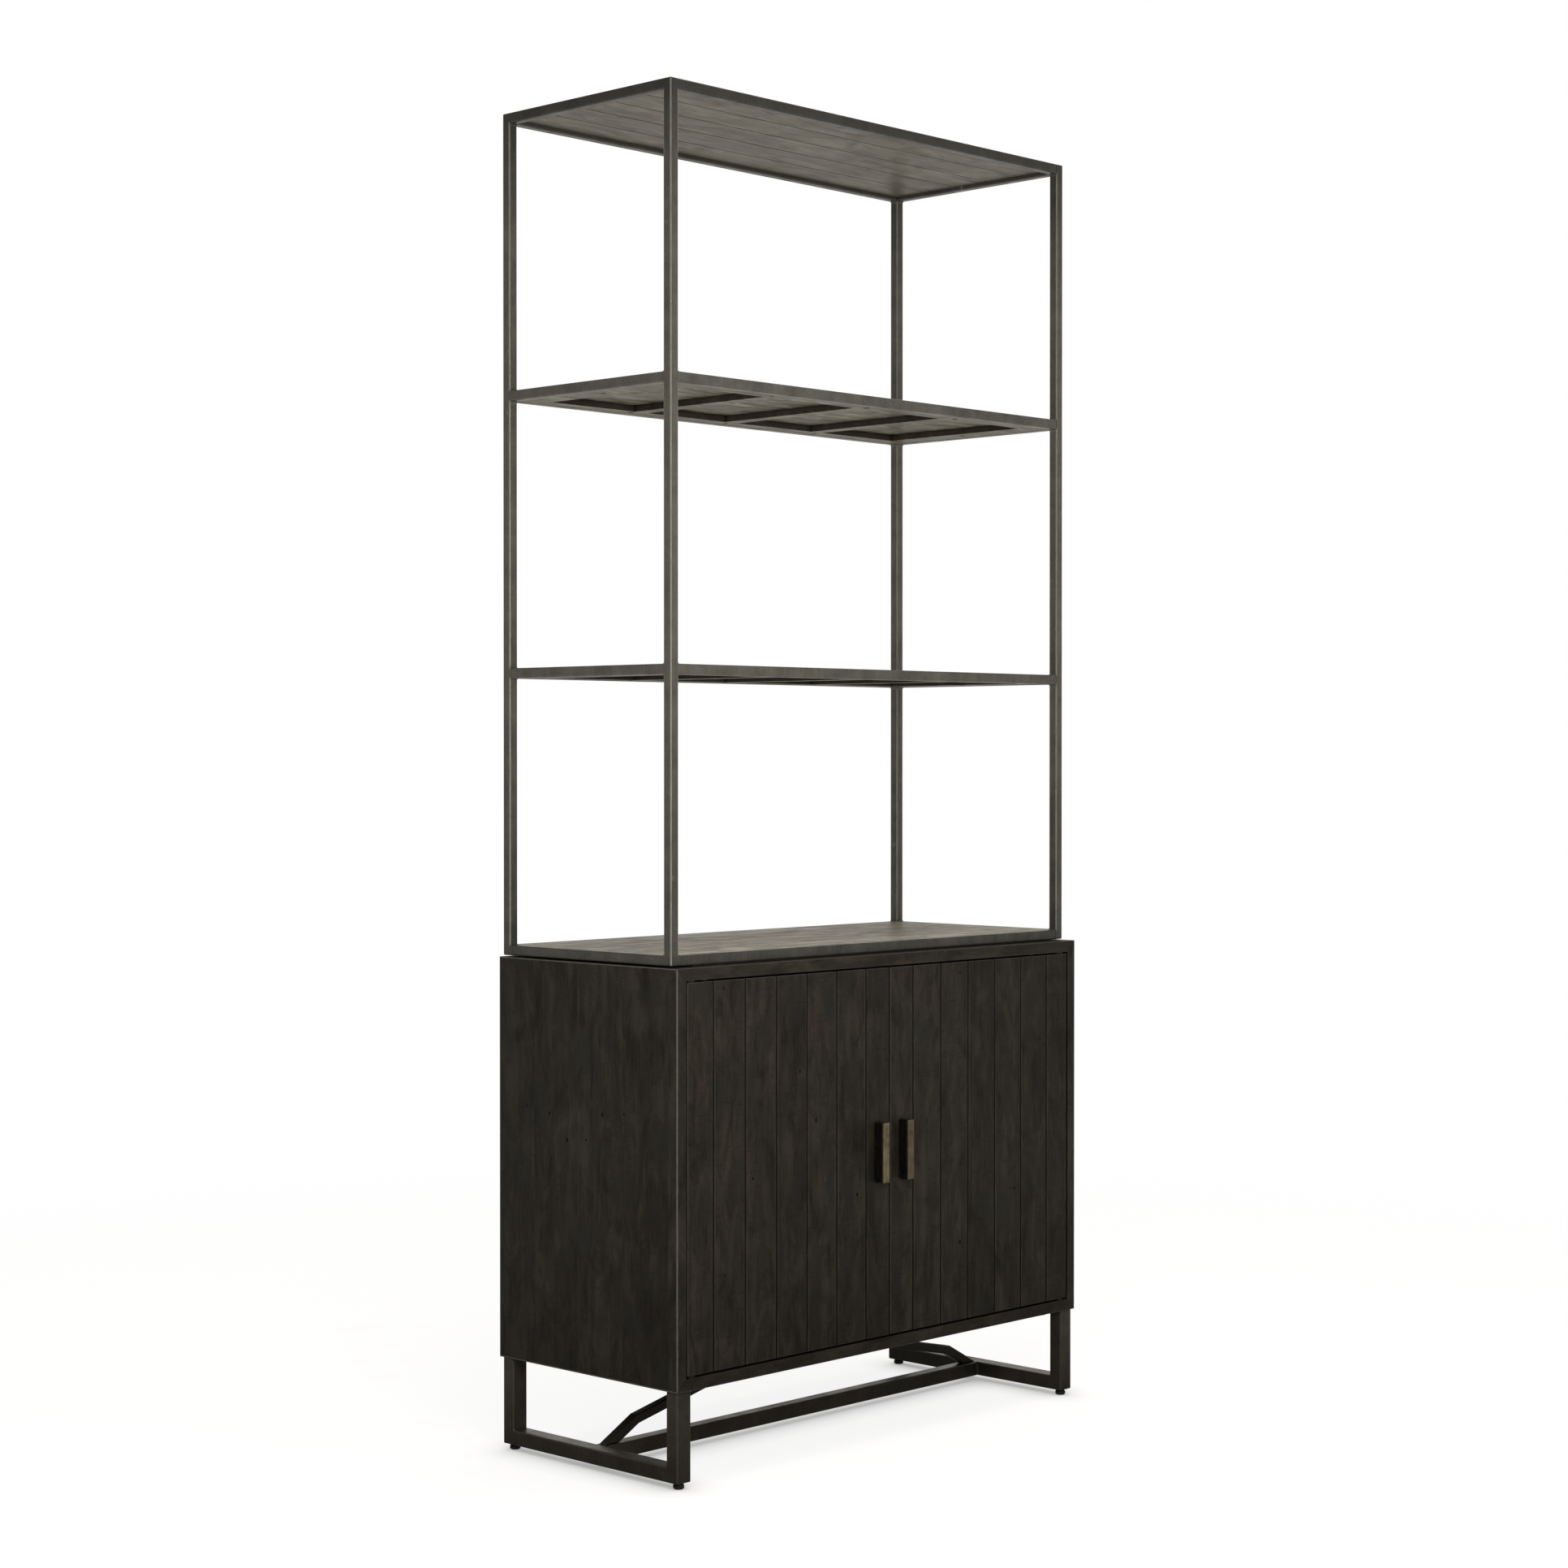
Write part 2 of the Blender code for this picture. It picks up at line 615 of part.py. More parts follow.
def build_fixing(end, middle, held):
    """The rubber strip under the end's rail or boards, and two bolts up through it from inside the cabinet."""
    reach = BAY_SIDE - PAD_FROM_END
    low = (-reach, middle - PAD_WIDTH / 2, TOP + CLEARANCE)
    high = (reach, middle + PAD_WIDTH / 2, HUTCH_BOTTOM - CLEARANCE)
    strip = box(end + "_pad_strip", low, high, black)
    head_top = INNER_TOP - CLEARANCE
    profile = [
        (0, head_top - BOLT_HEAD),
        (BOLT_HEAD_RADIUS, head_top - BOLT_HEAD),
        (BOLT_HEAD_RADIUS, head_top),
        (BOLT_RADIUS, head_top),
        (BOLT_RADIUS, HUTCH_BOTTOM + BOLT_BITE),
        (0, HUTCH_BOTTOM + BOLT_BITE),
    ]
    for side, way in (("left", -1), ("right", 1)):
        spot = (way * (SIDE - HUTCH_BOLT_FROM_END), middle)
        turned(f"{side}_{end}_frame_bolt", profile, (*spot, 0), steel)
        hole = rod(
            f"{side}_{end}_frame_bolt_hole",
            spot,
            BOLT_RADIUS + CLEARANCE,
            INNER_TOP - PANEL / 2,
            HUTCH_BOTTOM + BOLT_BITE + CLEARANCE,
        )
        for name in ("top_panel", strip.name, held):
            combine(pieces.objects[name], hole)


for item in list(bpy.data.objects):
    bpy.data.objects.remove(item)
pieces = new_collection("bookcase")
cutters = new_collection("cutters", helper=True)
board_wood = new_material("dark_stained_wood", (0.024, 0.020, 0.015), 0.55)
shelf_wood = new_material("grey_stained_wood", (0.205, 0.185, 0.145), 0.6)
steel_paint = new_material("dark_grey_paint", (0.105, 0.100, 0.085), 0.5, 0.3)
black = new_material("black_plastic", (0.012, 0.012, 0.012), 0.5)
brass = new_material("aged_brass", (0.20, 0.15, 0.08), 0.4, 0.9)
steel = new_material("zinc_steel", (0.45, 0.45, 0.43), 0.35, 1.0)

build_carcass()
build_adjustable_shelf()
for side, way in (("left", -1), ("right", 1)):
    build_door(side, way)
    build_bushes(side, way)
    build_catch(side, way)
build_base()
build_hutch()
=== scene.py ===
"""A tall bookcase: an open frame of square tube with boarded shelves, standing on a dark two-door cabinet."""

import math

import bmesh
import bpy
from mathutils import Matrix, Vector


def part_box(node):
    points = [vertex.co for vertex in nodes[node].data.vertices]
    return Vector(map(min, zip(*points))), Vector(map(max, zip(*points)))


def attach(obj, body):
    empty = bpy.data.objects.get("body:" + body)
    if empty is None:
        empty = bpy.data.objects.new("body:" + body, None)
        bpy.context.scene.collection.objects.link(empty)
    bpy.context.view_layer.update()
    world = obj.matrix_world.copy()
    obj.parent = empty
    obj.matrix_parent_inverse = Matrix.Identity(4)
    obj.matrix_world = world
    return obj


# The pieces: the whole bookcase comes in as it is put together, every solid in its place, in metres.
# None is moved here. Each gets its finish, some get their arrises eased, and small marks and welds are added.
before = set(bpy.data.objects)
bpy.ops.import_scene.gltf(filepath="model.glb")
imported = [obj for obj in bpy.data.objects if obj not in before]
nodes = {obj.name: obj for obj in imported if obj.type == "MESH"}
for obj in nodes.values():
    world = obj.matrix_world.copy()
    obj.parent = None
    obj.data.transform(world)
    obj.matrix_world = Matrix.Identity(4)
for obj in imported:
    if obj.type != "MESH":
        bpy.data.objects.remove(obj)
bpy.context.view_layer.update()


# The view: an eye a little above the cabinet, off the bookcase's front left corner, with a long lens.
# What it sees is square, so one focal length serves both ways. It looks a hair downwards.
EYE = (-3.7433, -3.5491, 1.1594)
EYE_TURN = 0.8056
EYE_DROP = 0.0102
LENS = 68.33
SENSOR = 36.0

eye = bpy.data.objects.new("eye", bpy.data.cameras.new("eye"))
eye.data.lens = LENS
eye.data.sensor_width = SENSOR
eye.location = EYE
eye.rotation_euler = (math.pi / 2 - EYE_DROP, 0.0, -EYE_TURN)
bpy.context.scene.collection.objects.link(eye)
bpy.context.scene.camera = eye


# The cabinet's case: reclaimed softwood boards, planed by hand and stained nearly black, joined in mitres.
# The sides and back run their grain upwards, and the top, bottom and loose shelf run it from side to side.
# A set of tones is the stain where it took dark, evenly and pale, and the cooler tone of old weathered wood.
CASE_TONES = (
    (0.0085, 0.0068, 0.0047), (0.0195, 0.0158, 0.0112), (0.0325, 0.0270, 0.0196), (0.0160, 0.0155, 0.0128),
)
# The arris tones below are paler than the stain: rubbed wear together with a painted highlight along the
# edges.
CASE_WEAR_AND_HIGHLIGHT = (0.125, 0.120, 0.108)
EDGE_WEAR_AND_HIGHLIGHT = (0.060, 0.057, 0.050)
CASE_STAVE = 0.106
BACK_STAVE = 0.160
STAVES_FROM = -0.5
# How wide the arrises of the case and of the other edges are rubbed and painted with a highlight.
CASE_WEAR_AND_HIGHLIGHT_WIDTH = 0.0028
EDGE_WEAR_AND_HIGHLIGHT_WIDTH = 0.0018
CASE_KNOTS = ((0.033, 0.545, 0.030), (-0.115, 0.735, 0.018), (0.120, 0.310, 0.016))
CASE_LOOK = {"ink": 0.0, "figured": 1.35}


def start_finish(name):
    """An empty finish and what is needed to build on it."""
    finish = bpy.data.materials.new(name)
    finish.use_nodes = True
    return finish, finish.node_tree.nodes["Principled BSDF"]


def add(finish, kind, inputs=None, **settings):
    """Adds one node to a finish. An input is a plain value, or the output of another node."""
    made = finish.node_tree.nodes.new(kind)
    for key, value in settings.items():
        setattr(made, key, value)
    for key, value in (inputs or {}).items():
        if isinstance(value, bpy.types.NodeSocket):
            finish.node_tree.links.new(value, made.inputs[key])
        else:
            made.inputs[key].default_value = value
    return made


def sum_of(finish, first, second, operation="ADD"):
    """The sum of two numbers, or what another operation makes of them."""
    return add(finish, "ShaderNodeMath", {0: first, 1: second}, operation=operation).outputs[0]


def times(finish, first, second):
    return sum_of(finish, first, second, "MULTIPLY")


def spread(finish, value, low, high, to_low=0.0, to_high=1.0):
    """Stretches the stretch of a value between low and high over a new range."""
    inputs = {"Value": value, "From Min": low, "From Max": high, "To Min": to_low, "To Max": to_high}
    return add(finish, "ShaderNodeMapRange", inputs).outputs["Result"]


def blended(finish, share, first, second, kind="MIX"):
    """Mixes two colours. A colour is three numbers or the output of another node."""
    colours = [c if isinstance(c, bpy.types.NodeSocket) else (*c, 1.0) for c in (first, second)]
    mix = add(finish, "ShaderNodeMix", {"Factor": share}, data_type="RGBA", blend_type=kind)
    for socket, colour in zip((mix.inputs[6], mix.inputs[7]), colours):
        if isinstance(colour, bpy.types.NodeSocket):
            finish.node_tree.links.new(colour, socket)
        else:
            socket.default_value = colour
    return mix.outputs[2]


def toned(colour, by):
    """A plain colour made darker or paler."""
    return [part * by for part in colour]


def dimmed(finish, colour, level):
    """Darkens a colour evenly, or lifts it where level is above 1."""
    grey = add(finish, "ShaderNodeCombineXYZ", {0: level, 1: level, 2: level}).outputs[0]
    return blended(finish, 1.0, colour, grey, "MULTIPLY")


def noise(finish, place, scale, detail, roughness=0.5, bend=0.0):
    """Cloudy noise at a place, in cycles to the metre."""
    inputs = {"Vector": place, "Scale": scale, "Detail": detail, "Roughness": roughness, "Distortion": bend}
    return add(finish, "ShaderNodeTexNoise", inputs).outputs["Fac"]


def painted_shade_occlusion(finish, reach, samples=4):
    """Ambient occlusion within reach, used to paint shade: 1 on an open face, and less in a crevice."""
    return add(finish, "ShaderNodeAmbientOcclusion", {"Distance": reach}, samples=samples).outputs["AO"]


def coat(finish, shader, colour, rough):
    """Joins the colour and the roughness to a finish."""
    finish.node_tree.links.new(colour, shader.inputs["Base Color"])
    finish.node_tree.links.new(rough, shader.inputs["Roughness"])


def relief(finish, shader, height, strength, distance):
    """Raises and sinks the surface by a height, at most by distance."""
    bump = add(finish, "ShaderNodeBump", {"Height": height, "Strength": strength, "Distance": distance})
    finish.node_tree.links.new(bump.outputs["Normal"], shader.inputs["Normal"])


def near_arris(finish, axes, low, high):
    """How far a point on a squared piece lies from its nearest arris: the middle one of three distances."""
    gaps = []
    for axis in range(3):
        from_low = sum_of(finish, axes[axis], -low[axis])
        from_high = sum_of(finish, high[axis], axes[axis], "SUBTRACT")
        gaps.append(sum_of(finish, from_low, from_high, "MINIMUM"))
    less = sum_of(finish, gaps[0], gaps[1], "MINIMUM")
    more = sum_of(finish, gaps[0], gaps[1], "MAXIMUM")
    return sum_of(finish, less, sum_of(finish, more, gaps[2], "MINIMUM"), "MAXIMUM")


KNOT_LENGTHENED = 0.62


def draw_knot(finish, colour, knot, over, up, ragged, tones):
    """A pale patch with a dark heart. The knot is its place across and along the grain, and its radius."""
    at_across, at_along, radius = knot
    off = add(finish, "ShaderNodeCombineXYZ", {
        0: times(finish, sum_of(finish, over, -at_across), 1.0 / radius),
        1: times(finish, sum_of(finish, up, -at_along), KNOT_LENGTHENED / radius),
    }).outputs[0]
    away = add(finish, "ShaderNodeVectorMath", {0: off}, operation="LENGTH").outputs["Value"]
    away = sum_of(finish, away, spread(finish, ragged, 0.3, 0.7, -0.45, 0.45))
    colour = blended(finish, spread(finish, away, 1.25, 0.65, 0.0, 0.6), colour, toned(tones[2], 1.15))
    return blended(finish, spread(finish, away, 0.34, 0.10, 0.0, 0.35), colour, toned(tones[0], 0.5))


SEAM_DARK = 0.0015
SEAM_CLEAR = 0.0023
SEAM_WANDER = 0.0003


def draw_seams(finish, colour, boards, board, ragged, clouds, tones, ink):
    """A dark line where two boards meet, with a pale line along each side of it: rubbed wear together with a
    painted highlight.
    """
    part = sum_of(finish, boards, 0.0, "FRACT")
    seam = times(finish, sum_of(finish, part, sum_of(finish, 1.0, part, "SUBTRACT"), "MINIMUM"), board)
    # Pale lines beside each seam: rubbed wear together with a painted highlight.
    wear_and_highlight_lines = times(finish, spread(finish, seam, 0.0016, 0.0028), spread(finish, seam, 0.0046, 0.0030))
    wear_and_highlight_lines = times(finish, wear_and_highlight_lines, spread(finish, ragged, 0.40, 0.58, 0.15, 0.75))
    colour = blended(finish, wear_and_highlight_lines, colour, toned(tones[2], 1.7))
    wander = spread(finish, clouds, 0.3, 0.7, -SEAM_WANDER, SEAM_WANDER)
    line = spread(finish, sum_of(finish, seam, wander), SEAM_DARK, SEAM_CLEAR, ink, 0.0)
    return blended(finish, line, colour, toned(tones[0], 0.10))


FIGURE_MIDDLE = 0.52
FIGURE_HALF = 0.15
BOARD_SEED = 0.37
BOARD_SHIFT = 23.0
# How strongly and how softly the arris wear and its painted highlight are drawn.
WEAR_AND_HIGHLIGHT_SHARE = 0.8
WEAR_AND_HIGHLIGHT_FADE = 0.0007
# How far the painted shade reaches into crevices in the wood.
PAINTED_SHADE_REACH = 0.006


def timber(
    name, along, across, tones, board, start, low, high,
    tone=0.1, shine=0.5, gloss=0.15, wear_and_highlight_width=0.0016, ink=1.0, figured=1.0, knots=(), wear_and_highlight=None,
):
    """Stained boards. along and across are 0, 1 or 2 for X, Y or Z, and board is one board's width.

    The first board begins at start, and low and high are the corners of the piece. tone is how much the
    boards differ, shine their roughness, and ink how dark the seams. The arris width and arris tone set how
    wide and how pale the arrises are drawn, as rubbed wear together with a painted highlight.
    """
    dark, mid, pale, cool = tones
    finish, shader = start_finish(name)
    place = add(finish, "ShaderNodeTexCoord").outputs["Object"]
    axes = add(finish, "ShaderNodeSeparateXYZ", {0: place}).outputs
    depth = 3 - along - across
    boards = sum_of(finish, sum_of(finish, axes[across], -start), board, "DIVIDE")
    seed = sum_of(finish, sum_of(finish, boards, 0.0, "FLOOR"), BOARD_SEED)
    luck = add(finish, "ShaderNodeTexWhiteNoise", {"W": seed}, noise_dimensions="1D").outputs["Value"]
    shift = times(finish, luck, BOARD_SHIFT)

    def figure(stretch, scale, detail, roughness=0.55, bend=0.0, squeeze=1.0):
        """Noise drawn out along the grain (stretch below 1) or across it (squeeze below 1)."""
        inputs = [None, None, None]
        inputs[along] = sum_of(finish, times(finish, axes[along], stretch), shift)
        inputs[across] = times(finish, axes[across], squeeze)
        inputs[depth] = times(finish, axes[depth], squeeze)
        spot = add(finish, "ShaderNodeCombineXYZ", dict(enumerate(inputs))).outputs[0]
        return noise(finish, spot, scale, detail, roughness, bend)

    clouds = figure(0.42, 26.0, 6.0, 0.66, 0.8)
    streaks = figure(0.10, 70.0, 5.0, 0.66, 0.5)
    fibres = figure(0.035, 520.0, 3.0)
    smears = figure(0.20, 46.0, 4.0, 0.65, 1.0)
    scrapes = figure(1.0, 360.0, 2.0, 0.5, 0.0, 0.09)
    hues = figure(0.35, 30.0, 2.0, 0.5, 0.5)
    flecks = figure(0.5, 310.0, 2.0, 0.7)

    mixed = sum_of(finish, times(finish, clouds, 0.60), times(finish, streaks, 0.30))
    mixed = sum_of(finish, mixed, times(finish, fibres, 0.14))
    half = FIGURE_HALF / figured
    stained = spread(finish, mixed, FIGURE_MIDDLE - half, FIGURE_MIDDLE + half)
    ramp = add(finish, "ShaderNodeValToRGB", {"Fac": stained})
    ramp.color_ramp.elements[0].color = (*dark, 1.0)
    ramp.color_ramp.elements[1].color = (*pale, 1.0)
    ramp.color_ramp.elements.new(0.5).color = (*mid, 1.0)
    colour = blended(finish, spread(finish, hues, 0.48, 0.66, 0.0, 0.75), ramp.outputs["Color"], cool)
    colour = dimmed(finish, colour, spread(finish, luck, 0.0, 1.0, 1.0 - tone, 1.0 + tone))

    # Smears of darker stain, tool scrapes across the grain, and flecks that took little stain.
    colour = blended(finish, spread(finish, smears, 0.58, 0.72, 0.0, 0.7), colour, toned(dark, 0.5))
    colour = blended(finish, spread(finish, scrapes, 0.62, 0.74, 0.0, 0.45), colour, toned(dark, 0.6))
    colour = blended(finish, spread(finish, flecks, 0.71, 0.80, 0.0, 0.6), colour, toned(pale, 1.7))
    for knot in knots:
        colour = draw_knot(finish, colour, knot, axes[across], axes[along], smears, tones)
    if ink:
        colour = draw_seams(finish, colour, boards, board, smears, clouds, tones, ink)

    # Rubbed arrises with a painted highlight, and painted shade darkening the crevices where two pieces meet.
    edge_wear_and_highlight = spread(finish, noise(finish, place, 60.0, 5.0, 0.7), 0.35, 0.68, 0.7 * wear_and_highlight_width, wear_and_highlight_width)
    past_wear_and_highlight = sum_of(finish, near_arris(finish, axes, low, high), edge_wear_and_highlight, "SUBTRACT")
    wear_and_highlight_share = times(finish, spread(finish, past_wear_and_highlight, 0.0, -WEAR_AND_HIGHLIGHT_FADE), WEAR_AND_HIGHLIGHT_SHARE)
    colour = blended(finish, wear_and_highlight_share, colour, wear_and_highlight or toned(pale, 2.0))
    # Painted shade: ambient occlusion darkens the crevices between pieces.
    painted_shade = spread(finish, painted_shade_occlusion(finish, PAINTED_SHADE_REACH), 0.40, 0.86, 1.0, 0.0)
    colour = blended(finish, painted_shade, colour, toned(dark, 0.08))
    coat(finish, shader, colour, spread(finish, mixed, 0.38, 0.68, shine + 0.08, shine - 0.06))
    shader.inputs["Specular IOR Level"].default_value = gloss

    height = sum_of(finish, times(finish, fibres, 0.30), times(finish, clouds, 1.6))
    height = sum_of(finish, height, spread(finish, scrapes, 0.58, 0.74, 0.0, -0.5))
    height = sum_of(finish, height, times(finish, streaks, 0.5))
    relief(finish, shader, height, 0.7, 0.0006)
    return finish


def dress(name, finish):
    """Gives a piece of the bookcase its finish."""
    piece = nodes[name]
    piece.data.materials.clear()
    piece.data.materials.append(finish)
    return piece


case_low, case_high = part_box("bottom_panel")
case_high.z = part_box("top_panel")[1].z
case_staves = (CASE_TONES, CASE_STAVE, STAVES_FROM)
upright_case = timber(
    "case_upright_grain", 2, 1, *case_staves, case_low, case_high,
    wear_and_highlight_width=CASE_WEAR_AND_HIGHLIGHT_WIDTH, knots=CASE_KNOTS, wear_and_highlight=CASE_WEAR_AND_HIGHLIGHT, **CASE_LOOK,
)
level_case = timber(
    "case_level_grain", 0, 1, *case_staves, case_low, case_high,
    wear_and_highlight_width=EDGE_WEAR_AND_HIGHLIGHT_WIDTH, wear_and_highlight=EDGE_WEAR_AND_HIGHLIGHT, **CASE_LOOK,
)
back_case = timber(
    "case_back_grain", 2, 0, CASE_TONES, BACK_STAVE, STAVES_FROM, *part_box("back_panel"), ink=0.6,
)
shelf_grain = timber("shelf_grain", 0, 1, *case_staves, *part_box("adjustable_shelf"), ink=0.5)

ARRIS_ANGLE = math.radians(50)
ARRIS_STEPS = 2


def soft_arris():
    """Shades a piece so that its small rounded edges look round, and its flat faces stay flat."""
    group = bpy.data.node_groups.new("soft_arris", "GeometryNodeTree")
    group.interface.new_socket("Geometry", in_out="INPUT", socket_type="NodeSocketGeometry")
    group.interface.new_socket("Geometry", in_out="OUTPUT", socket_type="NodeSocketGeometry")
    start = group.nodes.new("NodeGroupInput")
    smooth = group.nodes.new("GeometryNodeSetShadeSmooth")
    keep = group.nodes.new("GeometryNodeSetShadeSmooth")
    keep.domain = "EDGE"
    keep.inputs["Shade Smooth"].default_value = False
    angle = group.nodes.new("GeometryNodeInputMeshEdgeAngle")
    sharp = group.nodes.new("ShaderNodeMath")
    sharp.operation = "GREATER_THAN"
    sharp.inputs[1].default_value = ARRIS_ANGLE
    end = group.nodes.new("NodeGroupOutput")
    group.links.new(start.outputs[0], smooth.inputs["Geometry"])
    group.links.new(smooth.outputs[0], keep.inputs["Geometry"])
    group.links.new(angle.outputs["Unsigned Angle"], sharp.inputs[0])
    group.links.new(sharp.outputs[0], keep.inputs["Selection"])
    group.links.new(keep.outputs[0], end.inputs[0])
    return group


arris_shading = soft_arris()


def ease(piece, width=0.0):
    """Rounds the arrises of a piece that are still sharp, and shades them round."""
    if width:
        round_over = piece.modifiers.new("eased_arris", "BEVEL")
        round_over.width = width
        round_over.segments = ARRIS_STEPS
        round_over.limit_method = "ANGLE"
        round_over.angle_limit = ARRIS_ANGLE
    shading = piece.modifiers.new("arris_shading", "NODES")
    shading.node_group = arris_shading
    flat = piece.modifiers.new("flat_faces", "WEIGHTED_NORMAL")
    flat.keep_sharp = True


CASE_ARRIS = 0.0012
for side in ("left", "right"):
    ease(dress(side + "_side_panel", upright_case), CASE_ARRIS)
for name in ("top_panel", "bottom_panel"):
    ease(dress(name, level_case), CASE_ARRIS)
ease(dress("adjustable_shelf", shelf_grain))
dress("back_panel", back_case)


# The doors: seven upright boards each, stained like the case, with a V-groove at every seam.
# Each board came from its own plank, so the tone and the figure change from board to board.
DOOR_BOARD = 0.072
DOOR_BOARDS = 7

for side in ("left", "right"):
    low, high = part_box(side + "_door")
    start = (low.x + high.x) / 2 - DOOR_BOARDS / 2 * DOOR_BOARD
    boards = timber(
        side + "_door_boards", 2, 0, CASE_TONES, DOOR_BOARD, start, low, high,
        tone=0.12, wear_and_highlight_width=EDGE_WEAR_AND_HIGHLIGHT_WIDTH, figured=1.3, wear_and_highlight=EDGE_WEAR_AND_HIGHLIGHT,
    )
    ease(dress(side + "_door", boards))


# Nail marks: the reclaimed boards keep a few old nail holes, filled dark by the stain.
# They lie where nails once held the planks, mostly on one line across the left side.
SIDE_NAILS = (
    (0.153, 0.579), (0.098, 0.571), (-0.029, 0.579), (-0.080, 0.584), (0.055, 0.531), (0.010, 0.535),
)
LEFT_DOOR_NAILS = (
    (-0.397, 0.786), (-0.220, 0.640), (-0.182, 0.557), (-0.330, 0.476), (-0.082, 0.424), (-0.393, 0.328),
)
RIGHT_DOOR_NAILS = ((0.182, 0.780), (0.330, 0.391), (0.182, 0.313), (0.412, 0.640))
NAIL_MARK = 0.0023
NAIL_PROUD = 0.00012
MARK_SIDES = 10
MARK_TAPER = 0.8
MARK_TALL = 1.5
MARK_SMALLEST = 0.8
MARK_SPREAD = 0.45
MARK_SIZES = 5
MARK_STEP = 2
FILL_TONES = ((0.0035, 0.003, 0.0028), (0.011, 0.008, 0.006))


def dark_fill():
    """Old nail holes and screw wells: near black, with a faint rusty ring in places."""
    finish, shader = start_finish("nail_mark_fill")
    place = add(finish, "ShaderNodeTexCoord").outputs["Object"]
    share = spread(finish, noise(finish, place, 300.0, 3.0), 0.45, 0.7)
    finish.node_tree.links.new(blended(finish, share, *FILL_TONES), shader.inputs["Base Color"])
    shader.inputs["Roughness"].default_value = 0.8
    shader.inputs["Specular IOR Level"].default_value = 0.1
    return finish


def add_piece(name, shape, finish, body):
    """Makes a piece of a shape that is modelled here, and joins it to its body."""
    mesh = bpy.data.meshes.new(name)
    shape.to_mesh(mesh)
    shape.free()
    mesh.materials.append(finish)
    piece = bpy.data.objects.new(name, mesh)
    bpy.context.scene.collection.objects.link(piece)
    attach(piece, body)


def marks(name, spots, facing, radius, proud, body):
    """Small worn ovals lying on a face. Each spot is a point on it, and facing is the way it faces.

    The marks take turns at five sizes. Those on an upright face are drawn out upwards, with the grain.
    """
    shape = bmesh.new()
    turn = Vector((0, 0, 1)).rotation_difference(Vector(facing)).to_matrix().to_4x4()
    for index, spot in enumerate(spots):
        made = bmesh.ops.create_cone(
            shape, cap_ends=True, segments=MARK_SIDES, depth=2 * proud,
            radius1=radius, radius2=radius * MARK_TAPER,
        )["verts"]
        size = MARK_SMALLEST + MARK_SPREAD * (index * MARK_STEP % MARK_SIZES) / (MARK_SIZES - 1)
        stretch = [size, size, 1] if facing[2] else [size, size, size * MARK_TALL]
        bmesh.ops.transform(shape, matrix=turn, verts=made)
        bmesh.ops.scale(shape, vec=stretch, verts=made)
        bmesh.ops.translate(shape, vec=spot, verts=made)
    add_piece(name, shape, nail_fill, body)


nail_fill = dark_fill()
outer_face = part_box("left_side_panel")[0].x
spots = [(outer_face, y, z) for y, z in SIDE_NAILS]
marks("side_nail_marks", spots, (-1, 0, 0), NAIL_MARK, NAIL_PROUD, "cabinet")
for side, nails in (("left", LEFT_DOOR_NAILS), ("right", RIGHT_DOOR_NAILS)):
    name = side + "_door"
    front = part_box(name)[0].y
    spots = [(x, front, z) for x, z in nails]
    marks(name + "_nail_marks", spots, (0, -1, 0), NAIL_MARK, NAIL_PROUD, name)


# The handles: a short upright bar of blackened steel on each door, capped with a strip of aged brass.
# The brass was brushed along its length and then darkened, so it is brown in places and bare in others.
STEEL_TONES = ((0.0030, 0.0025, 0.0022), (0.0085, 0.0070, 0.0062))
BRASS_TONES = ((0.090, 0.070, 0.044), (0.31, 0.255, 0.160))
BRASS_BARE = {"left": 1.0, "right": 0.62}
BRASS_ARRIS = 0.0006


def blackened_steel():
    finish, shader = start_finish("blackened_steel")
    place = add(finish, "ShaderNodeTexCoord").outputs["Object"]
    cloud = noise(finish, place, 160.0, 4.0)
    colour = blended(finish, spread(finish, cloud, 0.35, 0.7), *STEEL_TONES)
    coat(finish, shader, colour, spread(finish, cloud, 0.3, 0.7, 0.4, 0.6))
    shader.inputs["Metallic"].default_value = 0.2
    shader.inputs["Specular IOR Level"].default_value = 0.2
    relief(finish, shader, cloud, 0.3, 0.0002)
    return finish


def aged_brass(name, bare):
    """bare is how much brass still shows through its brown tarnish."""
    finish, shader = start_finish(name)
    place = add(finish, "ShaderNodeTexCoord").outputs["Object"]
    drawn = add(finish, "ShaderNodeMapping", {"Vector": place, "Scale": (1.0, 1.0, 0.03)}).outputs[0]
    line = noise(finish, drawn, 900.0, 3.0)
    cloud = noise(finish, place, 70.0, 4.0)
    share = spread(finish, sum_of(finish, times(finish, line, 0.6), times(finish, cloud, 0.6)), 0.4, 0.8)
    colour = blended(finish, share, *(toned(part, bare) for part in BRASS_TONES))
    coat(finish, shader, colour, spread(finish, line, 0.3, 0.7, 0.32, 0.52))
    shader.inputs["Metallic"].default_value = 0.85
    relief(finish, shader, line, 0.35, 0.0002)
    return finish


handle_steel = blackened_steel()
for side, bare in BRASS_BARE.items():
    ease(dress(side + "_handle", handle_steel))
    ease(dress(side + "_handle_face", aged_brass(side + "_brass", bare)), BRASS_ARRIS)


# The leg frames, floor rail and arch: steel tube, welded, ground and powder coated in a warm dark grey.
# The coat is uneven: cloudy from the spray, and a touch paler on the arrises, where hands and boots rub it
# and a painted highlight is added.
# Each set holds the coat's darker and paler spray, then the paler arris tone: rubbed wear together with a
# painted highlight.
BASE_TONES = ((0.033, 0.028, 0.021), (0.060, 0.052, 0.040), (0.10, 0.092, 0.078))
# The arch has the same coat, painted darker as painted shade under the cabinet.
ARCH_TONES_PAINTED_DARKER = ((0.020, 0.017, 0.013), (0.036, 0.032, 0.025), (0.07, 0.064, 0.054))
